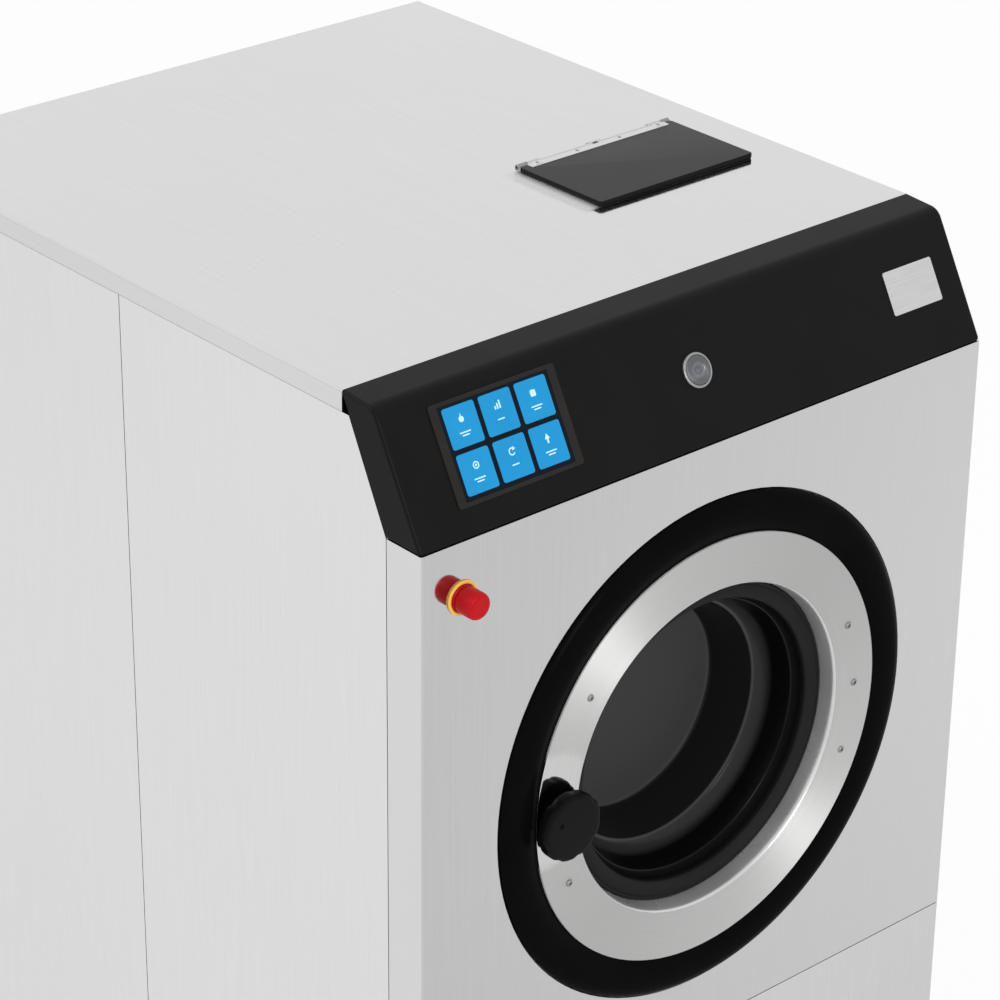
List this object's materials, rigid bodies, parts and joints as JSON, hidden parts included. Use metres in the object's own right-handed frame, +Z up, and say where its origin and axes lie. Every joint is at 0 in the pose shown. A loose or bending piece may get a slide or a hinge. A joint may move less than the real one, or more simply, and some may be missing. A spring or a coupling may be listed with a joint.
{
  "type": "front-loading washing machine",
  "caption": "Floor-fixed front-loading washer with a glass-bowl door, sloped control fascia, soap hopper in the top, tub, belt-driven drum and rear connections.",
  "frame": {"origin": "on the floor under the middle of the cabinet, the bottom centre of the bounding box", "axes": "+X to the right seen from the front, +Y from the front to the back, +Z up"},
  "size_m": [0.692, 0.889, 1.1913],
  "materials": {
    "cabinet_steel": "fine brushed stainless sheet",
    "rear_steel": "plain zinc-grey sheet",
    "base_paint": "satin dark grey paint",
    "screw_steel": "bright plated",
    "fascia_plastic": "satin black moulding",
    "display_plastic": "satin dark grey-brown",
    "screen_face": "smooth dark blue lit panel",
    "collar_chrome": "polished",
    "button_metal": "satin",
    "badge_metal": "satin bare plate",
    "stop_yellow": "smooth",
    "stop_red": "smooth",
    "bezel_plastic": "smooth black moulding",
    "knob_plastic": "smooth black moulding",
    "door_steel": "turned stainless",
    "frame_cast": "as cast",
    "gasket_rubber": "light grey",
    "seal_rubber": "black",
    "bowl_glass": "lightly smoked, smooth",
    "hinge_steel": "machined steel",
    "lock_plastic": "moulded",
    "tub_steel": "rolled stainless sheet",
    "drum_steel": "bright stainless sheet",
    "bearing_steel": "ground",
    "pulley_iron": "machined casting",
    "motor_paint": "satin blue-grey paint",
    "belt_rubber": "ribbed black",
    "valve_plastic": "light grey moulding",
    "hopper_plastic": "grey moulding",
    "hose_rubber": "black hose",
    "lid_plastic": "satin dark grey",
    "case_plastic": "grey moulding",
    "gland_plastic": "black nylon"
  },
  "bodies": {
    "cabinet": {"base_frame": "base_paint", "front_panel": "cabinet_steel", "service_panel": "cabinet_steel", "left_front_side": "cabinet_steel", "left_rear_side": "cabinet_steel", "right_front_side": "cabinet_steel", "right_rear_side": "cabinet_steel", "rear_panel": "rear_steel", "rear_cover": "rear_steel", "panel_screws": "screw_steel", "top_cover": "cabinet_steel", "fascia_housing": "fascia_plastic", "fascia_backplate": "rear_steel", "display_bezel": "display_plastic", "display_glass": "screen_face", "button_collar": "collar_chrome", "badge_plate": "badge_metal", "estop_collar": "stop_yellow", "door_lock": "lock_plastic", "hinge_bracket": "hinge_steel", "hinge_pin": "hinge_steel", "door_recess": "rear_steel", "tub_seal": "seal_rubber", "tub_front_plate": "tub_steel", "tub_shell": "tub_steel", "tub_back_plate": "tub_steel", "tub_cradles": "base_paint", "bearings": "bearing_steel", "bearing_housing": "pulley_iron", "motor_body": "motor_paint", "drive_belt": "belt_rubber", "drain_valve": "valve_plastic", "hopper_box": "hopper_plastic", "hopper_hose": "hose_rubber", "hopper_hinge": "hinge_steel", "hopper_hinge_pin": "hinge_steel", "control_box": "case_plastic", "inlet_valves": "valve_plastic", "vent_spigot": "rear_steel", "cable_gland": "gland_plastic"},
    "door": {"door_bezel": "bezel_plastic", "door_ring": "door_steel", "door_frame": "frame_cast", "door_gasket": "gasket_rubber", "door_glass": "bowl_glass", "door_screws": "screw_steel", "hinge_leaf": "hinge_steel"},
    "handle": {"handle_knob": "knob_plastic", "latch_spindle": "hinge_steel"},
    "hopper_lid": {"hopper_lid": "lid_plastic"},
    "stop_button": {"estop_head": "stop_red"},
    "start_button": {"start_button": "button_metal"},
    "drum": {"drum_front_ring": "drum_steel", "drum_shell": "drum_steel", "drum_back_plate": "drum_steel", "drum_lifters": "drum_steel", "drum_shaft": "hinge_steel", "drum_pulley": "pulley_iron"},
    "motor_rotor": {"motor_pulley": "pulley_iron"}
  },
  "joints": [
    {"name": "door_hinge", "type": "hinge", "parent": "cabinet", "child": "door", "pos_m": [0.24, -0.418, 0.751], "axis": [0, 0, 1], "range_deg": [0, 110]},
    {"name": "door_handle", "type": "hinge", "parent": "door", "child": "handle", "pos_m": [-0.1907, -0.4225, 0.751], "axis": [0, -1, 0], "range_deg": [0, 90]},
    {"name": "hopper_lid_hinge", "type": "hinge", "parent": "cabinet", "child": "hopper_lid", "pos_m": [0.195, -0.03285, 1.1883], "axis": [-1, 0, 0], "range_deg": [0, 100]},
    {"name": "emergency_stop", "type": "slide", "parent": "cabinet", "child": "stop_button", "axis": [0, 1, 0], "range_m": [0, 0.004]},
    {"name": "start_push", "type": "slide", "parent": "cabinet", "child": "start_button", "axis": [0, 0.8781, -0.4785], "range_m": [0, 0.0025], "stiffness_N_per_m": 400},
    {"name": "drum_spin", "type": "hinge", "parent": "cabinet", "child": "drum", "pos_m": [0, 0, 0.751], "axis": [0, 1, 0], "continuous": true},
    {"name": "motor_spin", "type": "hinge", "parent": "cabinet", "child": "motor_rotor", "pos_m": [0.095, 0.2835, 0.24501], "axis": [0, 1, 0], "continuous": true}
  ],
  "couplings": [
    {"joint": "motor_spin", "follows": "drum_spin", "ratio": 4}
  ]
}
